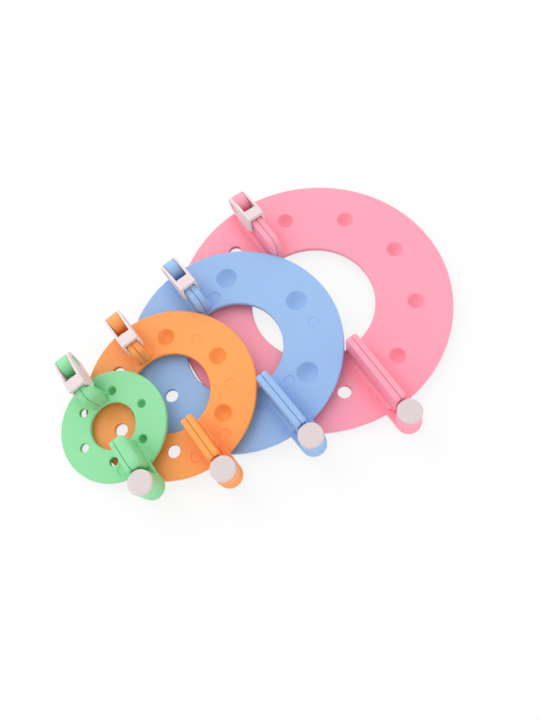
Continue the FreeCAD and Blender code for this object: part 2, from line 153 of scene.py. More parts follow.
# The sizes of each maker in millimetres, the rim and the hole as radii, and its colour.
MAKER_SIZES = {
    "pink": dict(rim=45.45, hole=20.35, peg_circle=33.4, dimple=2.9, socket=2.2, pegs=5,
                 hinge_reach=5.35, latch_reach=42.35, socket_fin=1.95, peg_fin=1.95,
                 plastic="#FD9FB4"),
    "blue": dict(rim=35.15, hole=15.7, peg_circle=25.3, dimple=3.65, socket=2.1, pegs=3,
                 hinge_reach=5.8, latch_reach=31.95, socket_fin=1.95, peg_fin=1.95,
                 plastic="#95B9E7"),
    "orange": dict(rim=28.0, hole=13.1, peg_circle=19.0, dimple=3.0, socket=2.1, pegs=3,
                   hinge_reach=5.2, latch_reach=26.7, socket_fin=1.95, peg_fin=1.95,
                   plastic="#FCA04E"),
    "green": dict(rim=17.85, hole=7.55, peg_circle=11.3, dimple=1.65, socket=1.45, pegs=3,
                  hinge_reach=5.7, latch_reach=22.1, socket_fin=1.5, peg_fin=3.6,
                  plastic="#8EDBA1"),
}
MAKER_FIELDS = {
    "rim": ("Rim radius", "Outer radius of the ring"),
    "hole": ("Hole radius", "Radius of the hole in the middle of the ring"),
    "peg_circle": ("Peg circle radius", "Radius of the circle that the pegs and sockets lie on"),
    "dimple": ("Dimple radius", "Radius of the bowl-shaped dimple over each peg"),
    "socket": ("Socket radius", "Radius of the round holes in the socket half"),
    "hinge_reach": ("Hinge reach", "From the rim to the hinge pin's axis"),
    "latch_reach": ("Latch reach", "From the ring's centre to the latch clip's pivot"),
    "socket_fin": ("Socket half fin", "Thickness of the fin on the socket half"),
    "peg_fin": ("Peg half fin", "Thickness of the fin on the peg half"),
}


def maker_settings(maker):
    """A settings class for one maker, with its own sizes and colour as the defaults."""
    sizes = MAKER_SIZES[maker]
    notes = {
        field: length_setting(title, about, sizes[field])
        for field, (title, about) in MAKER_FIELDS.items()
    }
    notes["pegs"] = IntProperty(
        name="Pegs", description="Number of pegs on one half", default=sizes["pegs"], min=1, max=9
    )
    notes["plastic"] = colour_setting("Plastic", "Colour of the moulded plastic", sizes["plastic"])
    name = "POMPOM_PG_" + maker
    return type(name, (bpy.types.PropertyGroup,), {"__annotations__": notes})


SETTINGS_OF = {maker: maker_settings(maker) for maker in MAKERS}


class POMPOM_PG_common(bpy.types.PropertyGroup):
    """Sizes that the four makers share, and the two whites"""

    plate: length_setting("Plate thickness", "Thickness of the flat ring", 1.6)
    edge: length_setting("Plate edge", "Rounding of the plate's outer and inner edges", 0.45)
    soft: length_setting("Small edge", "Rounding of the small moulded edges", 0.3)
    split_gap: length_setting("Split gap", "Gap between the two half rings", 0.03)
    seam_edge: length_setting("Seam edge", "Rounding of a fin's edges at the seam", 0.3)
    fin_height: length_setting("Fin height", "Height of the fins above the plate", 9.8)
    fin_thickness: length_setting("Fin thickness", "Thickness of the fins below the clip", 1.95)
    fin_from_hole: length_setting("Fin from hole", "From the hole's edge to a fin's end", 0.25)
    fin_lug_gap: length_setting("Fin lug gap", "From a fin's outer end to the hinge's lug", 0.15)
    hinge_corner: length_setting("Hinge fin corner", "Rounding of its upper inner corner", 1.8)
    latch_corner: length_setting("Latch fin corner", "Rounding of its upper inner corner", 3.0)
    fin_foot: length_setting("Fin foot", "Radius of the hollow curve at a fin's foot", 1.3)
    peg_drop: length_setting("Peg drop", "How far a peg stands out below the plate", 1.8)
    peg_clearance: length_setting("Peg clearance", "Peg in a socket, on the radius", 0.15)
    dimple_depth: length_setting("Dimple depth", "Depth of the dimples", 1.9)
    mark: length_setting("Ejector mark", "Radius of the ejector pins' round marks", 1.85)
    mark_depth: length_setting("Ejector mark depth", "Depth of the ejector pins' marks", 0.15)
    lug: length_setting("Lug radius", "Radius of the lug and the eye at the hinge", 4.1)
    lug_gap: length_setting("Lug gap", "Gap between the lug and the arm above it", 0.15)
    arm_height: length_setting("Arm height", "Top of the hinge arm above the plate", 1.8)
    arm_width: length_setting("Arm width", "Width of the hinge arm", 2.2)
    arm_inset: length_setting("Arm inset", "From the rim to the arm's rounded nose", 1.6)
    arm_root: length_setting("Arm root", "From the rim to the end of the arm's root", 0.7)
    boss: length_setting("Boss radius", "Radius of the upright boss at the hinge", 3.9)
    boss_height: length_setting("Boss height", "Top of the boss above the plate", 7.2)
    pin: length_setting("Pin radius", "Radius of the hinge pin's shank", 1.6)
    pin_clearance: length_setting("Pin clearance", "Pin in the boss, on the radius", 0.06)
    cap: length_setting("Cap radius", "Radius of the hinge pin's round cap", 3.9)
    cap_thickness: length_setting("Cap thickness", "Thickness of the cap", 1.35)
    cap_edge: length_setting("Cap edge", "Rounding of the cap's upper edge", 0.5)
    cap_gap: length_setting("Cap gap", "Gap between the boss and the cap", 0.15)
    pivot_height: length_setting("Pivot height", "The latch's axis above the plate", 6.9)
    knuckle: length_setting("Knuckle radius", "Radius of the knuckle the clip turns on", 3.7)
    knuckle_gap: length_setting("Knuckle gap", "Gap between the knuckle and the peg half", 0.3)
    socket_fin_gap: length_setting("Socket fin gap", "Knuckle to the socket half's fin", 0.9)
    peg_fin_gap: length_setting("Peg fin gap", "Knuckle to the peg half's fin", 1.7)
    nub: length_setting("Nub radius", "Radius of the knuckle's side nubs", 2.0)
    nub_clearance: length_setting("Nub clearance", "Nub in the clip, on the radius", 0.06)
    nub_recess: length_setting("Nub recess", "From the nubs' ends to the clip's face", 0.15)
    clip_side_gap: length_setting("Clip side gap", "Gap beside the knuckle", 0.1)
    clip_wall: length_setting("Clip wall", "Thickness of the clip's side plates", 0.85)
    clip_round: length_setting("Clip round", "Radius of the clip's round end", 3.8)
    clip_reach: length_setting("Clip reach", "From the pivot to the side plates' tips", 10.8)
    clip_drop: length_setting("Clip drop", "From the pivot down to the clip's lower edge", 4.3)
    clip_heel: length_setting("Clip heel", "Where the clip's lower edge starts", 1.4)
    clip_toe: length_setting("Clip toe", "Length of the slope from the lower edge", 2.9)
    clip_toe_rise: length_setting("Clip toe rise", "Height of the tips above that edge", 3.4)
    clip_fin_gap: length_setting("Clip fin gap", "From the clip's tips to a thick fin", 0.4)
    bar_width: length_setting("Bar width", "Width of the clip's crossbar", 3.7)
    bar_recess: length_setting("Bar recess", "From the side plates' tips to the bar", 0.8)
    bar_thickness: length_setting("Bar thickness", "Thickness of the crossbar", 1.4)
    bar_gap: length_setting("Bar gap", "Gap between the fins' tops and the crossbar", 0.5)
    clip_white: colour_setting("Clip white", "Colour of the clips' plastic", "#E6D5D6")
    pin_white: colour_setting("Pin white", "Colour of the pins' plastic", "#DACDCE")


def all_sizes(maker):
    """The maker's sizes and the shared ones as plain numbers, in millimetres."""
    own = getattr(bpy.context.scene, "pompom_" + maker)
    common = bpy.context.scene.pompom_common
    sizes = SimpleNamespace(pegs=own.pegs)
    for field in MAKER_FIELDS:
        setattr(sizes, field, getattr(own, field) / MM)
    for field in POMPOM_PG_common.__annotations__:
        if field not in ("clip_white", "pin_white"):
            setattr(sizes, field, getattr(common, field) / MM)
    sizes.near = sizes.split_gap / 2
    sizes.knuckle_half = sizes.near + sizes.fin_thickness
    sizes.hinge_x = sizes.rim + sizes.hinge_reach
    sizes.latch_x = -sizes.latch_reach
    sizes.pivot_z = sizes.plate + sizes.pivot_height
    return sizes


# ---------------------------------------------------------------- modelling by hand


def deselect():
    """Leave edit mode with nothing selected."""
    if bpy.context.object and bpy.context.object.mode != "OBJECT":
        bpy.ops.object.mode_set(mode="OBJECT")
    bpy.ops.object.select_all(action="DESELECT")


def pick(piece):
    """Make the piece the one that is selected and active."""
    deselect()
    piece.select_set(True)
    bpy.context.view_layer.objects.active = piece


def chain(points, closed=True):
    """A run of edges through the points, extruded from a single vertex and left in edit mode."""
    deselect()
    bpy.ops.mesh.primitive_plane_add(size=1, location=(0, 0, 0))
    bpy.ops.object.mode_set(mode="EDIT")
    bpy.ops.mesh.select_mode(type="VERT")
    bpy.ops.mesh.select_all(action="SELECT")
    bpy.ops.mesh.merge(type="CENTER")
    bpy.ops.transform.translate(value=points[0])
    stops = list(points) + ([points[0]] if closed else [])
    for before, after in zip(stops, stops[1:]):
        step = Vector(after) - Vector(before)
        bpy.ops.mesh.extrude_region_move(TRANSFORM_OT_translate={"value": step})
    bpy.ops.mesh.select_all(action="SELECT")
    if closed:
        bpy.ops.mesh.remove_doubles(threshold=SAME_CORNER)
    return bpy.context.object


def close_up():
    """Merge doubles, turn the faces outwards and leave edit mode."""
    bpy.ops.mesh.select_all(action="SELECT")
    bpy.ops.mesh.remove_doubles(threshold=SAME_CORNER)
    bpy.ops.mesh.normals_make_consistent(inside=False)
    bpy.ops.object.mode_set(mode="OBJECT")


def turned(points, steps, closed=False):
    """A solid turned about Z from its outline, given as (radius, height)."""
    piece = chain([(x, 0, z) for x, z in points], closed)
    bpy.ops.mesh.spin(steps=steps, angle=math.tau, center=(0, 0, 0), axis=(0, 0, 1))
    close_up()
    return piece


def prism(points, reach):
    """A solid extruded from a closed outline."""
    piece = chain(points)
    bpy.ops.mesh.edge_face_add()
    bpy.ops.mesh.extrude_region_move(TRANSFORM_OT_translate={"value": reach})
    close_up()
    return piece


def arc(centre, radius, start, end, steps):
    """Points along an arc, from one angle in degrees to another."""
    angles = [math.radians(start + (end - start) * n / steps) for n in range(steps + 1)]
    return [(centre[0] + radius * math.cos(a), centre[1] + radius * math.sin(a)) for a in angles]


def round_edges(piece, wanted, width, segments=STEPS.edge):
    """Bevel the edges whose two ends satisfy the test."""
    pick(piece)
    bpy.ops.object.mode_set(mode="EDIT")
    bpy.ops.mesh.select_mode(type="EDGE")
    bpy.ops.mesh.select_all(action="DESELECT")
    bpy.ops.object.mode_set(mode="OBJECT")
    points = piece.data.vertices
    for edge in piece.data.edges:
        first, second = (points[v].co for v in edge.vertices)
        edge.select = wanted(first, second)
    bpy.ops.object.mode_set(mode="EDIT")
    bpy.ops.mesh.bevel(offset=width, segments=segments, profile=0.5, clamp_overlap=False)
    bpy.ops.object.mode_set(mode="OBJECT")
    return piece


def round_ends(piece, axis, width, segments=STEPS.edge):
    """Round the edges that outline the two flat ends of a prism along the axis."""
    heights = [vertex.co[axis] for vertex in piece.data.vertices]
    ends = (min(heights), max(heights))

    def at_end(first, second):
        level = abs(first[axis] - second[axis]) < ON_END
        return level and min(abs(first[axis] - end) for end in ends) < ON_END

    return round_edges(piece, at_end, width, segments)


def sliced(piece, point, normal):
    """Cut the piece by a plane, keep what lies behind it and close the cut."""
    pick(piece)
    bpy.ops.object.mode_set(mode="EDIT")
    bpy.ops.mesh.select_all(action="SELECT")
    bpy.ops.mesh.bisect(
        plane_co=point, plane_no=normal, use_fill=True, clear_outer=True, threshold=ON_CUT
    )
    close_up()
    return piece


def moved(piece, offset):
    """Shift the piece's mesh."""
    pick(piece)
    bpy.ops.transform.translate(value=offset)
    bpy.ops.object.transform_apply(location=True, rotation=True, scale=True)
    return piece


def combined(base, others, operation):
    """The base with the other solids joined to it or cut from it."""
    for other in others:
        pick(base)
        bpy.ops.object.modifier_add(type="BOOLEAN")
        boolean = base.modifiers[-1]
        boolean.operation = operation
        boolean.solver = "MANIFOLD"
        boolean.object = other
        bpy.ops.object.modifier_apply(modifier=boolean.name)
        bpy.data.objects.remove(other)
    return base


def without_slivers(piece):
    """Merge the points that cutting left on one another, and take out faces with no area."""
    pick(piece)
    bpy.ops.object.mode_set(mode="EDIT")
    bpy.ops.mesh.select_mode(type="VERT")
    bpy.ops.mesh.select_all(action="SELECT")
    bpy.ops.mesh.remove_doubles(threshold=SAME_POINT)
    bpy.ops.mesh.dissolve_degenerate(threshold=SAME_POINT)
    bpy.ops.object.mode_set(mode="OBJECT")


def smoothed(piece):
    """Clear slivers, smooth the rounded edges and keep the flat faces flat."""
    without_slivers(piece)
    pick(piece)
    bpy.ops.object.shade_smooth_by_angle(angle=math.radians(40))
    bpy.ops.object.modifier_add(type="WEIGHTED_NORMAL")
    weighted = piece.modifiers[-1]
    weighted.keep_sharp = True
    bpy.ops.object.modifier_apply(modifier=weighted.name)
    return piece


# ---------------------------------------------------------------- where the makers lie


def maker_place(maker, s):
    """The maker's frame in the set, from its ring hinge and its latch."""
    joints = {joint["name"]: joint for joint in frame["joints"]}
    ring, latch = joints[maker + "_ring_hinge"], joints[maker + "_latch"]
    across = -Vector(latch["axis"]).normalized()
    upright = Vector(ring["axis"]).normalized()
    if upright.z < 0:
        upright.negate()
    along = across.cross(upright)
    rows = Matrix((along, across, upright)).transposed().to_4x4()
    pivot = Vector(latch["pos_m"])
    centre = pivot + along * s.latch_reach * MM - upright * s.pivot_z * MM
    return Matrix.Translation(centre) @ rows @ Matrix.Scale(MM, 4)


def check_closed(piece):
    """Stop if the piece's surface has a gap or faces that meet three to an edge."""
    uses = Counter(key for face in piece.data.polygons for key in face.edge_keys)
    loose = sum(count != 2 for count in uses.values())
    if loose or not uses:
        raise RuntimeError("%s is not closed: %d edges" % (piece.name, loose))


def put_in_place(piece, maker, s, node, body, material):
    """Bring a finished piece to its place in the set and stand it in for its node."""
    pick(piece)
    piece.matrix_world = maker_place(maker, s)
    bpy.ops.object.transform_apply(location=True, rotation=True, scale=True)
    piece.name = node + "_piece"
    piece.data.name = piece.name
    check_closed(piece)
    piece.data.materials.clear()
    piece.data.materials.append(material)
    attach(piece, body)
    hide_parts(node)


# ---------------------------------------------------------------- the pieces


def half_plate(s, side):
    """The flat half ring with rounded edges, on the +Y or the -Y side."""
    r = s.edge
    section = (
        arc((s.rim - r, r), r, -90, 0, STEPS.plate_edge)
        + arc((s.rim - r, s.plate - r), r, 0, 90, STEPS.plate_edge)
        + arc((s.hole + r, s.plate - r), r, 90, 180, STEPS.plate_edge)
        + arc((s.hole + r, r), r, 180, 270, STEPS.plate_edge)
    )
    ring = turned(section, STEPS.ring, closed=True)
    return sliced(ring, (0, s.near * side, 0), (0, -side, 0))


def softness(s, thickness):
    """The rounding of a fin's outer edges."""
    return thickness * (BLOCK_SOFTNESS if thickness > s.fin_thickness else FIN_SOFTNESS)


def fin(s, side, inner_x, outer_x, thickness, corner, outer_corner):
    """A wall along the split line with its top and ends rounded off towards the plate's side;
    an outer corner of 0 leaves the outer end square."""
    way = 1 if outer_x > inner_x else -1
    top = s.plate + s.fin_height
    inner = [
        (inner_x + way * (corner - corner * math.cos(a)), top - corner + corner * math.sin(a))
        for a in (math.radians(90 * n / STEPS.fin_corner) for n in range(STEPS.fin_corner + 1))
    ]
    outer = [
        (outer_x - way * (outer_corner - outer_corner * math.cos(a)),
         top - outer_corner + outer_corner * math.sin(a))
        for a in (math.radians(90 - 90 * n / STEPS.fin_end) for n in range(STEPS.fin_end + 1))
    ] if outer_corner else [(outer_x, top)]
    foot = SLIVER * 2
    outline = [(inner_x, foot)] + inner + outer + [(outer_x, foot)]
    seam_y = (s.near + SLIVER) * side
    far_y = (s.near + thickness) * side
    wall = prism([(x, seam_y, z) for x, z in outline], (0, far_y - seam_y, 0))

    def outlines(face_y):
        def wanted(first, second):
            ends = (first, second)
            lowest = all(abs(p.z - foot) < ON_FACE for p in ends)
            square = not outer_corner and all(abs(p.x - outer_x) < ON_FACE for p in ends)
            return all(abs(p.y - face_y) < ON_FACE for p in ends) and not lowest and not square
        return wanted

    round_edges(wall, outlines(far_y), softness(s, thickness), STEPS.fin_edge)
    return round_edges(wall, outlines(seam_y), s.seam_edge, STEPS.seam_edge)


def fin_foot(s, side, inner_x, outer_x, thickness):
    """The hollow curve between a fin's outer face and the plate, run out at both ends."""
    radius = s.fin_foot
    face = s.near + thickness
    behind, below = face - FOOT_OVERLAP, s.plate - FOOT_OVERLAP
    hollow = arc((face + radius, s.plate + radius), radius, 180, 270, STEPS.fin_foot)
    section = [(behind, below), (behind, s.plate + radius)] + hollow
    section.append((face + radius, below))
    piece = prism([(inner_x, y * side, z) for y, z in section], (outer_x - inner_x, 0, 0))
    way = 1 if outer_x > inner_x else -1
    slant = side * FOOT_SLANT
    sliced(piece, (inner_x, face * side, s.plate), (-way, slant, 0))
    return sliced(piece, (outer_x, face * side, s.plate), (way, slant, 0))


def fins(s, side, thickness, knuckle_gap):
    """A half ring's fins and their feet: one beside the hinge, and one beside the latch that is
    thinner under the clip where the fin is a thick one."""
    inner_x = s.hole + s.fin_from_hole
    outer_x = s.hinge_x - s.lug - s.fin_lug_gap
    end_x = s.latch_x + s.knuckle + knuckle_gap
    root_x = s.latch_x + s.clip_reach + s.clip_fin_gap
    soft = softness(s, thickness)
    latch_face = max(thickness, s.fin_thickness)
    foot_end = root_x if thickness > s.fin_thickness else -min(s.rim - s.edge, s.latch_reach)
    parts = [
        fin(s, side, inner_x, outer_x, thickness, s.hinge_corner, soft + s.soft),
        fin(s, side, -inner_x, end_x, s.fin_thickness, s.latch_corner, FIN_END),
        fin_foot(s, side, inner_x + soft, s.rim - s.edge, thickness),
        fin_foot(s, side, -inner_x - soft, foot_end, latch_face),
    ]
    if thickness > s.fin_thickness:
        parts.append(fin(s, side, -inner_x, root_x, thickness, s.latch_corner, 0))
    return parts


def socket_half(maker, s):
    """The half ring with the sockets, the lug, the latch's knuckle and its nubs."""
    base = half_plate(s, -1)
    parts = fins(s, -1, s.socket_fin, s.socket_fin_gap)
    parts += [lug(s), knuckle(s), knuckle_foot(s), tail(s), nubs(s)]
    combined(base, parts, "UNION")
    cutters = [socket_cutter(s, s.pin, s.hinge_x, 0)]
    for number in range(s.pegs):
        angle = math.pi / s.pegs * (number + 0.5)
        x, y = s.peg_circle * math.cos(angle), -s.peg_circle * math.sin(angle)
        cutters.append(socket_cutter(s, s.socket, x, y))
    cutters += ejector_marks(maker, s, -1)
    return smoothed(combined(base, cutters, "DIFFERENCE"))


def lug(s):
    """The round lug below the arm, with its straight neck, as one flat piece."""
    start = 180 + math.degrees(math.asin(s.near / s.lug))
    outline = [(s.rim - s.arm_inset, -s.near)] + arc((s.hinge_x, 0), s.lug, start, -90, STEPS.lug)
    outline.append((s.rim - s.arm_inset, -s.lug))
    piece = prism([(x, y, 0) for x, y in outline], (0, 0, s.plate))
    return round_ends(piece, 2, s.soft)


def knuckle(s):
    """The round-topped block between the clip's side plates."""
    low = s.plate + s.knuckle_gap
    outline = [(s.latch_x - s.knuckle, low)]
    outline += arc((s.latch_x, s.pivot_z), s.knuckle, 180, 0, STEPS.knuckle)
    outline.append((s.latch_x + s.knuckle, low))
    half = s.knuckle_half
    piece = prism([(x, -half, z) for x, z in outline], (0, half * 2, 0))
    return round_ends(piece, 1, KNUCKLE_EDGE)


def knuckle_foot(s):
    """The block that joins the knuckle to the socket half."""
    low, high = s.plate / 2, s.plate + s.knuckle_gap * 2
    inset = SLIVER * 2
    outer_x = s.latch_x - s.knuckle + inset
    inner_x = s.latch_x + s.knuckle - inset
    outer_y = -s.knuckle_half + inset
    outline = [(outer_x, outer_y), (inner_x, outer_y), (inner_x, -s.near), (outer_x, -s.near)]
    return prism([(x, y, low) for x, y in outline], (0, 0, high - low))


def tail(s):
    """The plate's tongue below the knuckle."""
    outer_x = s.latch_x - s.knuckle
    inner_x = -(s.hole + s.rim) / 2
    outer_y = -s.knuckle_half
    outline = [(outer_x, outer_y), (inner_x, outer_y), (inner_x, -s.near), (outer_x, -s.near)]
    piece = prism([(x, y, SLIVER) for x, y in outline], (0, 0, s.plate - SLIVER * 2))
    return round_ends(piece, 2, s.soft)


def nubs(s):
    """The two round nubs that the clip turns on, as one pin through the knuckle."""
    half = s.knuckle_half + s.clip_side_gap + s.clip_wall - s.nub_recess
    circle = arc((s.latch_x, s.pivot_z), s.nub, 0, 360, STEPS.nub)[:-1]
    piece = prism([(x, -half, z) for x, z in circle], (0, half * 2, 0))
    return round_ends(piece, 1, NUB_EDGE, STEPS.nub_edge)


def socket_cutter(s, radius, x, y):
    """What a round hole with rounded lips takes out of the plate."""
    lip, steps = SOCKET_LIP, STEPS.socket_lip
    wide, top = radius + lip, s.plate + OVERRUN
    lower = [(wide + lip * math.cos(a), lip + lip * math.sin(a) - SLIVER)
             for a in (math.radians(270 - 90 * n / steps) for n in range(steps + 1))]
    upper = [(r, s.plate - z) for r, z in reversed(lower)]
    outline = [(0, -OVERRUN), (wide, -OVERRUN)] + lower + upper + [(wide, top), (0, top)]
    return moved(turned(outline, STEPS.socket), (x, y, 0))


def ejector_marks(maker, s, side):
    """What the ejector pins' shallow round marks take out of one half's plate."""
    floor, top = s.plate - s.mark_depth, s.plate + MARK_OVERRUN
    outline = [(0, floor), (s.mark - MARK_SLOPE, floor), (s.mark, s.plate + SLIVER)]
    outline += [(s.mark, top), (0, top)]
    marks = []
    for distance, degrees in EJECTOR_MARKS[maker]:
        if degrees * side > 0:
            angle = math.radians(degrees)
            place = (distance * math.cos(angle), distance * math.sin(angle), 0)
            marks.append(moved(turned(outline, STEPS.mark), place))
    return marks


def peg_half(maker, s):
    """The half ring with pegs below, a dimple over each, and the arm that turns on the pin."""
    base = half_plate(s, 1)
    parts = fins(s, 1, s.peg_fin, s.peg_fin_gap)
    parts += [arm(s), arm_root(s), boss(s)]
    cutters = [pin_bore(s)]
    for number in range(s.pegs):
        angle = math.pi / s.pegs * (number + 0.5)
        x, y = s.peg_circle * math.cos(angle), s.peg_circle * math.sin(angle)
        parts.append(peg(s, x, y))
        cutters.append(dimple_cutter(s, x, y))
    cutters += ejector_marks(maker, s, 1)
    combined(base, parts, "UNION")
    return smoothed(combined(base, cutters, "DIFFERENCE"))


def peg(s, x, y):
    """A round peg below the plate."""
    radius = s.socket - s.peg_clearance
    soft = PEG_EDGE
    edge = arc((radius - soft, -s.peg_drop + soft), soft, -90, 0, STEPS.peg_edge)
    outline = [(0, -s.peg_drop)] + edge + [(radius, s.plate / 2), (0, s.plate / 2)]
    return moved(turned(outline, STEPS.peg), (x, y, 0))


def dimple_cutter(s, x, y):
    """What a bowl-shaped dimple with a rounded lip takes out of the plate."""
    lip, steps = DIMPLE_LIP, STEPS.bowl
    bottom, top = s.plate - s.dimple_depth, s.plate + OVERRUN
    # the bowl ends a little inside and below its rim, and two slopes lead out over the lip
    wide, rise = s.dimple - lip * 1.2, s.dimple_depth - lip * 1.1
    bowl = [
        (wide * n / steps, bottom + rise * (n / steps) ** BOWL_POWER) for n in range(steps + 1)
    ]
    outline = bowl + [
        (s.dimple - lip * 0.5, s.plate - lip * 0.3),
        (s.dimple + lip * 0.4, s.plate + SLIVER),
        (s.dimple + lip * 0.4, top),
        (0, top),
    ]
    return moved(turned(outline, STEPS.dimple), (x, y, 0))


def arm(s):
    """The raised arm with its rounded nose and the eye round the pin, as one flat piece."""
    low = s.plate + s.lug_gap
    high = s.plate + s.arm_height
    half = s.arm_width / 2
    arm_x = s.rim - s.arm_inset
    start = 180 - math.degrees(math.asin((s.lug - s.arm_width) / s.lug))
    outline = [(s.hinge_x, s.lug)] + arc((arm_x, s.lug - half), half, 90, 270, STEPS.arm_nose)
    outline += arc((s.hinge_x, 0), s.lug, start, 450, STEPS.eye)[:-1]
    piece = prism([(x, y, low) for x, y in outline], (0, 0, high - low))
    return round_ends(piece, 2, s.soft)


def arm_root(s):
    """The block that joins the arm to the plate."""
    half = s.arm_width / 2 - SLIVER * 2
    arm_x = s.rim - s.arm_inset
    middle = s.lug - s.arm_width / 2
    end_x = s.rim - s.arm_root
    outline = [(end_x, middle + half)] + arc((arm_x, middle), half, 90, 270, STEPS.arm_nose)
    outline.append((end_x, middle - half))
    low = s.plate / 2
    return prism([(x, y, low) for x, y in outline], (0, 0, s.plate + s.arm_height / 2 - low))


def boss(s):
    """The upright boss round the pin."""
    top = s.plate + s.boss_height
    low = s.plate + s.arm_height / 2
    edge = arc((s.boss - s.soft, top - s.soft), s.soft, 0, 90, STEPS.boss_edge)
    outline = [(0, low), (s.boss, low)] + edge + [(0, top)]
    return moved(turned(outline, STEPS.boss), (s.hinge_x, 0, 0))


def pin_bore(s):
    """The hole for the pin through the boss and the eye."""
    radius = s.pin + s.pin_clearance
    high = s.plate + s.boss_height + OVERRUN
    bore = turned([(0, 0), (radius, 0), (radius, high), (0, high)], STEPS.bore)
    return moved(bore, (s.hinge_x, 0, 0))


def hinge_pin(s):
    """The white pin: a shank, and a flat round cap with a soft edge."""
    foot = s.plate + s.boss_height + s.cap_gap
    top = foot + s.cap_thickness
    soft = s.cap_edge
    outline = [(0, PIN_RISE), (s.pin - PIN_TIP, PIN_RISE), (s.pin, PIN_TIP), (s.pin, foot)]
    outline += arc((s.cap - CAP_RIM, foot + CAP_RIM), CAP_RIM, -90, 0, STEPS.cap_rim)
    outline += arc((s.cap - soft, top - soft), soft, 0, 90, STEPS.cap_edge)
    outline.append((0, top))
    return smoothed(moved(turned(outline, STEPS.pin), (s.hinge_x, 0, 0)))


def clip_side(s, low_y, bar_outer, bar_inner, bar_top):
    """One side plate of the clip: a round end, a rising top edge and a pointed tip."""
    x, z = s.latch_x, s.pivot_z
    low = z - s.clip_drop
    run, rise = bar_outer - x, bar_top - z
    tangent = math.atan2(rise, run) + math.acos(s.clip_round / math.hypot(run, rise))
    heel = 180 + math.degrees(math.acos(s.clip_heel / s.clip_round))
    outline = [
        (bar_outer, bar_top),
        (bar_inner, bar_top),
        (x + s.clip_reach, low + s.clip_toe_rise),
        (x + s.clip_reach - s.clip_toe, low),
        (x - s.clip_heel, low),
    ]
    outline += reversed(arc((x, z), s.clip_round, math.degrees(tangent), heel, STEPS.clip))
    side = prism([(px, low_y, pz) for px, pz in outline], (0, s.clip_wall, 0))
    return round_ends(side, 1, CLIP_EDGE)


def clip_bar(s, half, bar_outer, bar_inner, bar_top):
    """The clip's crossbar, rounded all round, reaching to the side plates' outer faces."""
    low, high = bar_top - s.bar_thickness, bar_top - SLIVER / 2
    outline = [(bar_outer, low), (bar_inner, low), (bar_inner, high), (bar_outer, high)]
    reach = half - SLIVER
    bar = prism([(px, -reach, pz) for px, pz in outline], (0, reach * 2, 0))

    def upper(first, second):
        return min(first.z, second.z) > high - ON_FACE

    return round_edges(bar, upper, CLIP_EDGE)


def latch_clip(s):
    """The white clip: two side plates with a round end, and the bar across the fins."""
    bar_top = s.plate + s.fin_height + s.bar_gap + s.bar_thickness
    bar_inner = s.latch_x + s.clip_reach - s.bar_recess
    bar_outer = bar_inner - s.bar_width
    inner = s.knuckle_half + s.clip_side_gap
    half = inner + s.clip_wall
    left = clip_side(s, -half, bar_outer, bar_inner, bar_top)
    right = clip_side(s, inner, bar_outer, bar_inner, bar_top)
    bar = clip_bar(s, half, bar_outer, bar_inner, bar_top)
    piece = combined(left, [right, bar], "UNION")
    circle = arc((s.latch_x, s.pivot_z), s.nub + s.nub_clearance, 0, 360, STEPS.nub)[:-1]
    hole = prism([(px, -half - OVERRUN, pz) for px, pz in circle], (0, (half + OVERRUN) * 2, 0))
    return smoothed(combined(piece, [hole], "DIFFERENCE"))


# ---------------------------------------------------------------- materials


def add_node(tree, kind, settings=None, links=None):
    """Add a node, set its properties or sockets, and link its inputs."""
    node = tree.nodes.new(kind)
    for name, value in (settings or {}).items():
        if name in node.inputs:
            node.inputs[name].default_value = value
        else:
            setattr(node, name, value)
    for name, source in (links or {}).items():
        tree.links.new(source, node.inputs[name])
    return node


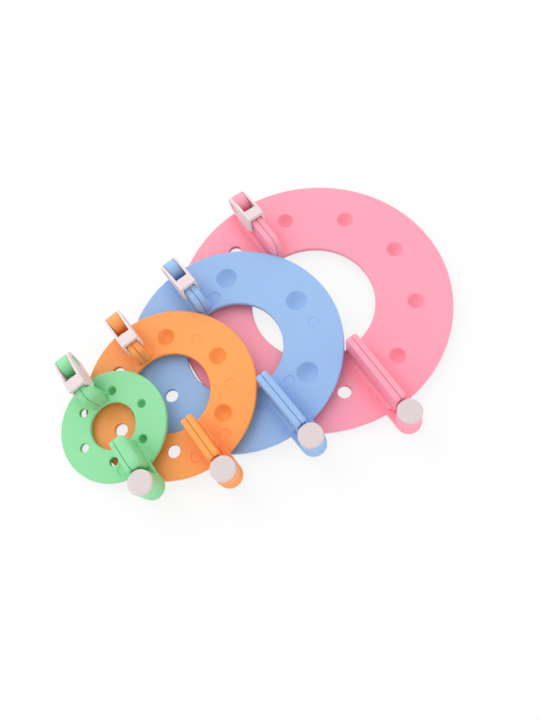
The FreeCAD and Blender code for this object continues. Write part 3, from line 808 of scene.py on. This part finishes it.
def moulded_plastic(name, colour, share, depth):
    """Injection-moulded polypropylene: an even colour with a soft gloss and a fine skin, with
    painted shade that makes the colour deeper and darker in the piece's own hollows. A share of
    the light goes into it, depth metres deep."""
    material = bpy.data.materials.new(name)
    material.use_nodes = True
    tree = material.node_tree
    tree.nodes.clear()
    place = add_node(tree, "ShaderNodeTexCoord").outputs["Object"]
    # flow of the melt: clouds some 15 mm across, a few hundredths darker
    cloud = add_node(tree, "ShaderNodeTexNoise", {"Scale": 60.0, "Detail": 2.0}, {"Vector": place})
    tint = add_node(
        tree, "ShaderNodeMix", {"data_type": "RGBA"}, {"Factor": cloud.outputs["Fac"]}
    )
    tint.inputs[6].default_value = tuple(c * CLOUD_SHADE for c in colour) + (1,)
    tint.inputs[7].default_value = tuple(colour) + (1,)
    # painted shade: where ambient occlusion finds the piece's own hollows, the colour is painted
    # deeper and darker
    hollow = add_node(
        tree, "ShaderNodeAmbientOcclusion", {"samples": 8, "only_local": True, "Distance": 0.01}
    )
    painted_shade_mask = add_node(
        tree, "ShaderNodeMapRange", {"From Min": 0.2, "From Max": 0.85, "To Min": 0.25},
        {"Value": hollow.outputs["AO"]},
    )
    deep = add_node(
        tree, "ShaderNodeMix", {"data_type": "RGBA"}, {"Factor": painted_shade_mask.outputs[0]}
    )
    # the painted shade's colour: the plastic's colour made deeper and darker
    deep.inputs[6].default_value = tuple(c ** PAINTED_SHADE_POWER for c in colour) + (1,)
    tree.links.new(tint.outputs[2], deep.inputs[7])
    # the mould's spark-eroded skin, drawn at 0.4 mm, coarser than the real 0.05 mm, to show
    skin = add_node(
        tree, "ShaderNodeTexNoise", {"Scale": 2500.0, "Detail": 3.0}, {"Vector": place}
    )
    rough = add_node(
        tree, "ShaderNodeMapRange", {"To Min": 0.38, "To Max": 0.5}, {"Value": skin.outputs["Fac"]}
    )
    bump = add_node(
        tree, "ShaderNodeBump", {"Strength": 0.06, "Distance": 0.00005},
        {"Height": skin.outputs["Fac"]},
    )
    shader = add_node(
        tree, "ShaderNodeBsdfPrincipled",
        {
            "IOR": 1.49,
            "Subsurface Weight": share,
            "Subsurface Radius": tuple(colour),
            "Subsurface Scale": depth,
        },
        {"Base Color": deep.outputs[2], "Roughness": rough.outputs[0], "Normal": bump.outputs[0]},
    )
    add_node(tree, "ShaderNodeOutputMaterial", None, {"Surface": shader.outputs[0]})
    return material


def plastic_of(maker):
    """The maker's coloured plastic, made once."""
    name = maker + "_moulded_polypropylene"
    found = bpy.data.materials.get(name)
    own = getattr(bpy.context.scene, "pompom_" + maker)
    return found or moulded_plastic(name, tuple(own.plastic), *RING_GLOW)


def clip_plastic():
    """The clips' thin white walls, made once."""
    name = "white_moulded_polypropylene"
    found = bpy.data.materials.get(name)
    colour = tuple(bpy.context.scene.pompom_common.clip_white)
    return found or moulded_plastic(name, colour, *CLIP_GLOW)


def pin_plastic():
    """The pins' solid white heads, a shade greyer than the clips; made once."""
    name = "grey_white_moulded_polypropylene"
    found = bpy.data.materials.get(name)
    colour = tuple(bpy.context.scene.pompom_common.pin_white)
    return found or moulded_plastic(name, colour, *PIN_GLOW)


# ---------------------------------------------------------------- operators


class POMPOM_OT_socket_halves(bpy.types.Operator):
    """Model the four half rings with sockets"""

    bl_idname = "pompom.socket_halves"
    bl_label = "Socket halves"

    def execute(self, context):
        for maker in MAKERS:
            s = all_sizes(maker)
            node = maker + "_socket_half"
            piece = socket_half(maker, s)
            put_in_place(piece, maker, s, node, node, plastic_of(maker))
        return {"FINISHED"}


class POMPOM_OT_peg_halves(bpy.types.Operator):
    """Model the four half rings with pegs and dimples"""

    bl_idname = "pompom.peg_halves"
    bl_label = "Peg halves"

    def execute(self, context):
        for maker in MAKERS:
            s = all_sizes(maker)
            node = maker + "_peg_half"
            piece = peg_half(maker, s)
            put_in_place(piece, maker, s, node, node, plastic_of(maker))
        return {"FINISHED"}


class POMPOM_OT_hinge_pins(bpy.types.Operator):
    """Model the four hinge pins with their caps"""

    bl_idname = "pompom.hinge_pins"
    bl_label = "Hinge pins"

    def execute(self, context):
        for maker in MAKERS:
            s = all_sizes(maker)
            piece = hinge_pin(s)
            put_in_place(
                piece, maker, s, maker + "_hinge_pin", maker + "_socket_half",
                pin_plastic(),
            )
        return {"FINISHED"}


class POMPOM_OT_latch_clips(bpy.types.Operator):
    """Model the four latch clips"""

    bl_idname = "pompom.latch_clips"
    bl_label = "Latch clips"

    def execute(self, context):
        for maker in MAKERS:
            s = all_sizes(maker)
            node = maker + "_latch_clip"
            piece = latch_clip(s)
            put_in_place(piece, maker, s, node, node, clip_plastic())
        return {"FINISHED"}


class POMPOM_OT_stage(bpy.types.Operator):
    """Set up the pale floor, the soft lights and the camera"""

    bl_idname = "pompom.stage"
    bl_label = "Stage"

    def execute(self, context):
        make_floor()
        make_lights()
        make_camera()
        return {"FINISHED"}


def make_floor():
    """A wide white floor, lit to white for the eye and still holding a soft shadow."""
    deselect()
    bpy.ops.mesh.primitive_plane_add(size=FLOOR_SIZE, location=(0, 0, -FLOOR_DROP))
    floor = bpy.context.object
    floor.name = "studio_floor"
    material = bpy.data.materials.new("studio_floor_paper")
    material.use_nodes = True
    tree = material.node_tree
    tree.nodes.clear()
    ray = add_node(tree, "ShaderNodeLightPath").outputs
    seen = add_node(tree, "ShaderNodeMath", {"operation": "MAXIMUM"})
    tree.links.new(ray["Is Camera Ray"], seen.inputs[0])
    tree.links.new(ray["Is Glossy Ray"], seen.inputs[1])
    share = add_node(tree, "ShaderNodeMath", {"operation": "MULTIPLY"})
    tree.links.new(seen.outputs[0], share.inputs[0])
    share.inputs[1].default_value = FLOOR_WHITE
    paper = add_node(tree, "ShaderNodeBsdfDiffuse", {"Color": (0.92, 0.92, 0.92, 1)})
    white = add_node(tree, "ShaderNodeEmission", {"Color": (1, 1, 1, 1), "Strength": 1.0})
    mix = add_node(tree, "ShaderNodeMixShader", None, {"Fac": share.outputs[0]})
    tree.links.new(paper.outputs[0], mix.inputs[1])
    tree.links.new(white.outputs[0], mix.inputs[2])
    add_node(tree, "ShaderNodeOutputMaterial", None, {"Surface": mix.outputs[0]})
    floor.data.materials.append(material)


def area_light(name, place, size, power):
    """A square soft light turned towards the middle of the set."""
    deselect()
    bpy.ops.object.light_add(type="AREA", location=place)
    lamp = bpy.context.object
    lamp.name = name
    lamp.data.size = size
    lamp.data.energy = power
    lamp.rotation_euler = (-Vector(place)).to_track_quat("-Z", "Y").to_euler()


def make_lights():
    """A white surround, brightest at the horizon, and a large soft light behind on the left."""
    world = bpy.data.worlds.new("studio_surround")
    bpy.context.scene.world = world
    world.use_nodes = True
    tree = world.node_tree
    background = tree.nodes["Background"]
    background.inputs["Color"].default_value = (1, 1, 1, 1)
    sky = add_node(tree, "ShaderNodeTexCoord").outputs["Generated"]
    height = add_node(tree, "ShaderNodeSeparateXYZ", None, {"Vector": sky}).outputs["Z"]
    level = add_node(
        tree, "ShaderNodeMapRange", {"To Min": 1.4, "To Max": 0.75}, {"Value": height}
    )
    tree.links.new(level.outputs[0], background.inputs["Strength"])
    area_light("key_softbox", KEY_PLACE, KEY_SIZE, KEY_POWER)


def make_camera():
    """The camera above and in front, turned a little on its side."""
    place = Vector(CAMERA_PLACE) * MM
    forward = Vector(CAMERA_FORWARD).normalized()
    right = Vector(CAMERA_RIGHT)
    right = (right - forward * right.dot(forward)).normalized()
    upward = right.cross(forward)
    deselect()
    bpy.ops.object.camera_add()
    camera = bpy.context.object
    turn = Matrix((right, upward, -forward)).transposed().to_4x4()
    camera.matrix_world = Matrix.Translation(place) @ turn
    camera.data.sensor_fit = "VERTICAL"
    camera.data.sensor_height = CAMERA_SENSOR
    camera.data.lens = CAMERA_LENS
    camera.data.clip_start = 0.01
    bpy.context.scene.camera = camera
    bpy.context.scene.view_settings.view_transform = "Standard"


class POMPOM_PT_panel(bpy.types.Panel):
    """The settings and the operators that build the set"""

    bl_idname = "POMPOM_PT_panel"
    bl_label = "Pom-pom makers"
    bl_space_type = "VIEW_3D"
    bl_region_type = "UI"
    bl_category = "Pom-pom makers"

    def draw(self, context):
        layout = self.layout
        for operator in OPERATORS:
            layout.operator(operator.bl_idname)
        groups = {maker: getattr(context.scene, "pompom_" + maker) for maker in MAKERS}
        groups["common"] = context.scene.pompom_common
        for name, group in groups.items():
            box = layout.box()
            box.label(text=name.capitalize())
            for field in group.bl_rna.properties:
                if not field.is_readonly and field.identifier != "name":
                    box.prop(group, field.identifier)


OPERATORS = (
    POMPOM_OT_socket_halves,
    POMPOM_OT_peg_halves,
    POMPOM_OT_hinge_pins,
    POMPOM_OT_latch_clips,
    POMPOM_OT_stage,
)
CLASSES = (*SETTINGS_OF.values(), POMPOM_PG_common, *OPERATORS, POMPOM_PT_panel)


def register():
    for entry in CLASSES:
        bpy.utils.register_class(entry)
    for maker, group in SETTINGS_OF.items():
        setattr(bpy.types.Scene, "pompom_" + maker, PointerProperty(type=group))
    bpy.types.Scene.pompom_common = PointerProperty(type=POMPOM_PG_common)


def unregister():
    del bpy.types.Scene.pompom_common
    for maker in SETTINGS_OF:
        delattr(bpy.types.Scene, "pompom_" + maker)
    for entry in reversed(CLASSES):
        bpy.utils.unregister_class(entry)


def main():
    register()
    bpy.ops.pompom.socket_halves()
    bpy.ops.pompom.peg_halves()
    bpy.ops.pompom.hinge_pins()
    bpy.ops.pompom.latch_clips()
    bpy.ops.pompom.stage()


if __name__ == "__main__":
    main()
